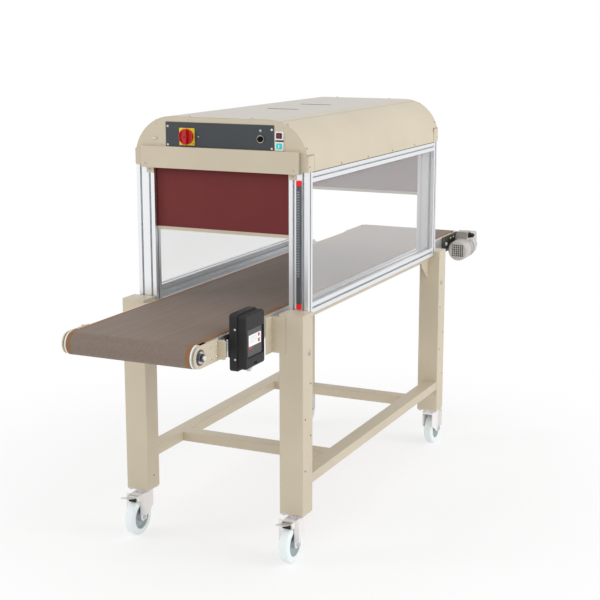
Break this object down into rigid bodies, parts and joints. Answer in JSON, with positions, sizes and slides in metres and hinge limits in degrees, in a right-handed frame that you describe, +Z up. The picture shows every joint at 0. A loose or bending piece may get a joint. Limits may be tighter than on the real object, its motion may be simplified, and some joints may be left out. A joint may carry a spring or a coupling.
{
  "type": "belt conveyor drying tunnel",
  "caption": "Drying tunnel on a castered stand: a flat belt runs through a windowed, slotted-aluminium tunnel with an arched hood, roll-up end curtains and a gearmotor drive.",
  "frame": {"origin": "on the floor under the middle of the tunnel", "axes": "+X across the belt towards the motor side, +Y along the belt from the loading end to the drive end, +Z up"},
  "size_m": [0.79, 2.853, 1.694],
  "materials": {
    "beige_paint": "satin powder coat",
    "aluminium": "natural anodised",
    "zinc_steel": "zinc plated",
    "belt_fabric": "coated glass fabric",
    "curtain_fabric": "coated cloth",
    "clear_window": "clear, glossy",
    "dark_paint": "satin",
    "panel_grey": "satin",
    "yellow_plastic": "gloss",
    "red_plastic": "gloss",
    "black_plastic": "matt",
    "white_plastic": "gloss",
    "teal_plastic": "gloss",
    "bright_metal": "polished",
    "sensor_grey": "matt",
    "display": "dark, glossy",
    "motor_paint": "cast, painted",
    "fork_paint": "satin",
    "wheel_plastic": "semi-gloss"
  },
  "bodies": {
    "machine": {"legs": "beige_paint", "upper_side_beams": "beige_paint", "lower_beams": "beige_paint", "conveyor_brackets": "beige_paint", "caster_plates": "zinc_steel", "side_rails": "aluminium", "belt_bed": "aluminium", "nose_plates": "beige_paint", "drive_plates": "dark_paint", "nose_shaft": "zinc_steel", "conveyor_belt": "belt_fabric", "tunnel_posts": "aluminium", "tunnel_rails": "aluminium", "side_windows": "clear_window", "floor_strips": "aluminium", "hood_cover": "beige_paint", "hood_front_panel": "beige_paint", "hood_rear_panel": "beige_paint", "front_curtain_cover": "beige_paint", "rear_curtain_cover": "beige_paint", "curtain_brackets": "beige_paint", "heater_reflector": "aluminium", "heater_tubes": "zinc_steel", "control_plate": "panel_grey", "switch_plate": "yellow_plastic", "button_ring": "bright_metal", "key_bezels": "white_plastic", "light_bar": "sensor_grey", "light_bar_caps": "red_plastic", "operator_base": "black_plastic", "operator_lid": "black_plastic", "display_glass": "display", "operator_bracket": "black_plastic", "gearbox": "motor_paint", "motor_body": "motor_paint", "fan_cowl": "motor_paint", "cable_gland": "black_plastic", "front_curtain": "curtain_fabric", "rear_curtain": "curtain_fabric"},
    "front_curtain_bar": {"front_curtain_bar": "beige_paint"},
    "rear_curtain_bar": {"rear_curtain_bar": "beige_paint"},
    "front_winding_tube": {"front_winding_tube": "curtain_fabric"},
    "rear_winding_tube": {"rear_winding_tube": "curtain_fabric"},
    "nose_roller": {"nose_roller": "white_plastic"},
    "drive_roller": {"drive_roller": "white_plastic"},
    "motor_fan": {"motor_fan": "black_plastic"},
    "switch_knob": {"switch_knob": "red_plastic"},
    "push_button": {"push_button": "black_plastic"},
    "start_key": {"start_key": "teal_plastic"},
    "stop_key": {"stop_key": "black_plastic"},
    "front_left_fork": {"front_left_fork": "fork_paint"},
    "front_right_fork": {"front_right_fork": "fork_paint"},
    "rear_left_fork": {"rear_left_fork": "fork_paint"},
    "rear_right_fork": {"rear_right_fork": "fork_paint"},
    "front_left_wheel": {"front_left_wheel": "wheel_plastic"},
    "front_right_wheel": {"front_right_wheel": "wheel_plastic"},
    "rear_left_wheel": {"rear_left_wheel": "wheel_plastic"},
    "rear_right_wheel": {"rear_right_wheel": "wheel_plastic"},
    "front_left_pedal": {"front_left_pedal": "zinc_steel"},
    "front_right_pedal": {"front_right_pedal": "zinc_steel"}
  },
  "joints": [
    {"name": "front_left_swivel", "type": "hinge", "parent": "machine", "child": "front_left_fork", "pos_m": [-0.345, -0.777, 0.175], "axis": [0, 0, 1], "continuous": true},
    {"name": "front_left_roll", "type": "hinge", "parent": "front_left_fork", "child": "front_left_wheel", "pos_m": [-0.345, -0.825, 0.075], "axis": [1, 0, 0], "continuous": true},
    {"name": "front_right_swivel", "type": "hinge", "parent": "machine", "child": "front_right_fork", "pos_m": [0.345, -0.777, 0.175], "axis": [0, 0, 1], "continuous": true},
    {"name": "front_right_roll", "type": "hinge", "parent": "front_right_fork", "child": "front_right_wheel", "pos_m": [0.345, -0.825, 0.075], "axis": [1, 0, 0], "continuous": true},
    {"name": "rear_left_swivel", "type": "hinge", "parent": "machine", "child": "rear_left_fork", "pos_m": [-0.345, 0.777, 0.175], "axis": [0, 0, 1], "continuous": true},
    {"name": "rear_left_roll", "type": "hinge", "parent": "rear_left_fork", "child": "rear_left_wheel", "pos_m": [-0.345, 0.825, 0.075], "axis": [1, 0, 0], "continuous": true},
    {"name": "rear_right_swivel", "type": "hinge", "parent": "machine", "child": "rear_right_fork", "pos_m": [0.345, 0.777, 0.175], "axis": [0, 0, 1], "continuous": true},
    {"name": "rear_right_roll", "type": "hinge", "parent": "rear_right_fork", "child": "rear_right_wheel", "pos_m": [0.345, 0.825, 0.075], "axis": [1, 0, 0], "continuous": true},
    {"name": "front_left_brake", "type": "hinge", "parent": "front_left_fork", "child": "front_left_pedal", "pos_m": [-0.345, -0.856, 0.163], "axis": [1, 0, 0], "range_deg": [0, 14]},
    {"name": "front_right_brake", "type": "hinge", "parent": "front_right_fork", "child": "front_right_pedal", "pos_m": [0.345, -0.856, 0.163], "axis": [1, 0, 0], "range_deg": [0, 14]},
    {"name": "drive_turn", "type": "hinge", "parent": "machine", "child": "drive_roller", "pos_m": [0, 1.38, 0.936], "axis": [1, 0, 0], "continuous": true},
    {"name": "nose_turn", "type": "hinge", "parent": "machine", "child": "nose_roller", "pos_m": [0, -1.38, 0.936], "axis": [1, 0, 0], "continuous": true},
    {"name": "fan_turn", "type": "hinge", "parent": "machine", "child": "motor_fan", "pos_m": [0.332, 1.24, 0.906], "axis": [0, 1, 0], "continuous": true},
    {"name": "front_curtain_lift", "type": "slide", "parent": "machine", "child": "front_curtain_bar", "axis": [0, 0, 1], "range_m": [-0.25, 0.225], "deforming": ["front_curtain"]},
    {"name": "front_tube_turn", "type": "hinge", "parent": "machine", "child": "front_winding_tube", "pos_m": [0, -0.6842, 1.54], "axis": [1, 0, 0], "continuous": true},
    {"name": "rear_curtain_lift", "type": "slide", "parent": "machine", "child": "rear_curtain_bar", "axis": [0, 0, 1], "range_m": [-0.25, 0.225], "deforming": ["rear_curtain"]},
    {"name": "rear_tube_turn", "type": "hinge", "parent": "machine", "child": "rear_winding_tube", "pos_m": [0, 0.6842, 1.54], "axis": [1, 0, 0], "continuous": true},
    {"name": "main_switch_turn", "type": "hinge", "parent": "machine", "child": "switch_knob", "pos_m": [-0.138, -0.735, 1.618], "axis": [0, 1, 0], "range_deg": [0, 90]},
    {"name": "button_push", "type": "slide", "parent": "machine", "child": "push_button", "axis": [0, 1, 0], "range_m": [0, 0.004], "stiffness_N_per_m": 500},
    {"name": "start_key_push", "type": "slide", "parent": "machine", "child": "start_key", "axis": [0, 1, 0], "range_m": [0, 0.003], "stiffness_N_per_m": 500},
    {"name": "stop_key_push", "type": "slide", "parent": "machine", "child": "stop_key", "axis": [0, 1, 0], "range_m": [0, 0.003], "stiffness_N_per_m": 500}
  ],
  "couplings": [
    {"joint": "nose_turn", "follows": "drive_turn", "ratio": 1},
    {"joint": "fan_turn", "follows": "drive_turn", "ratio": 20},
    {"joint": "front_tube_turn", "follows": "front_curtain_lift", "rad_per_m": -43.86},
    {"joint": "rear_tube_turn", "follows": "rear_curtain_lift", "rad_per_m": 43.86}
  ]
}
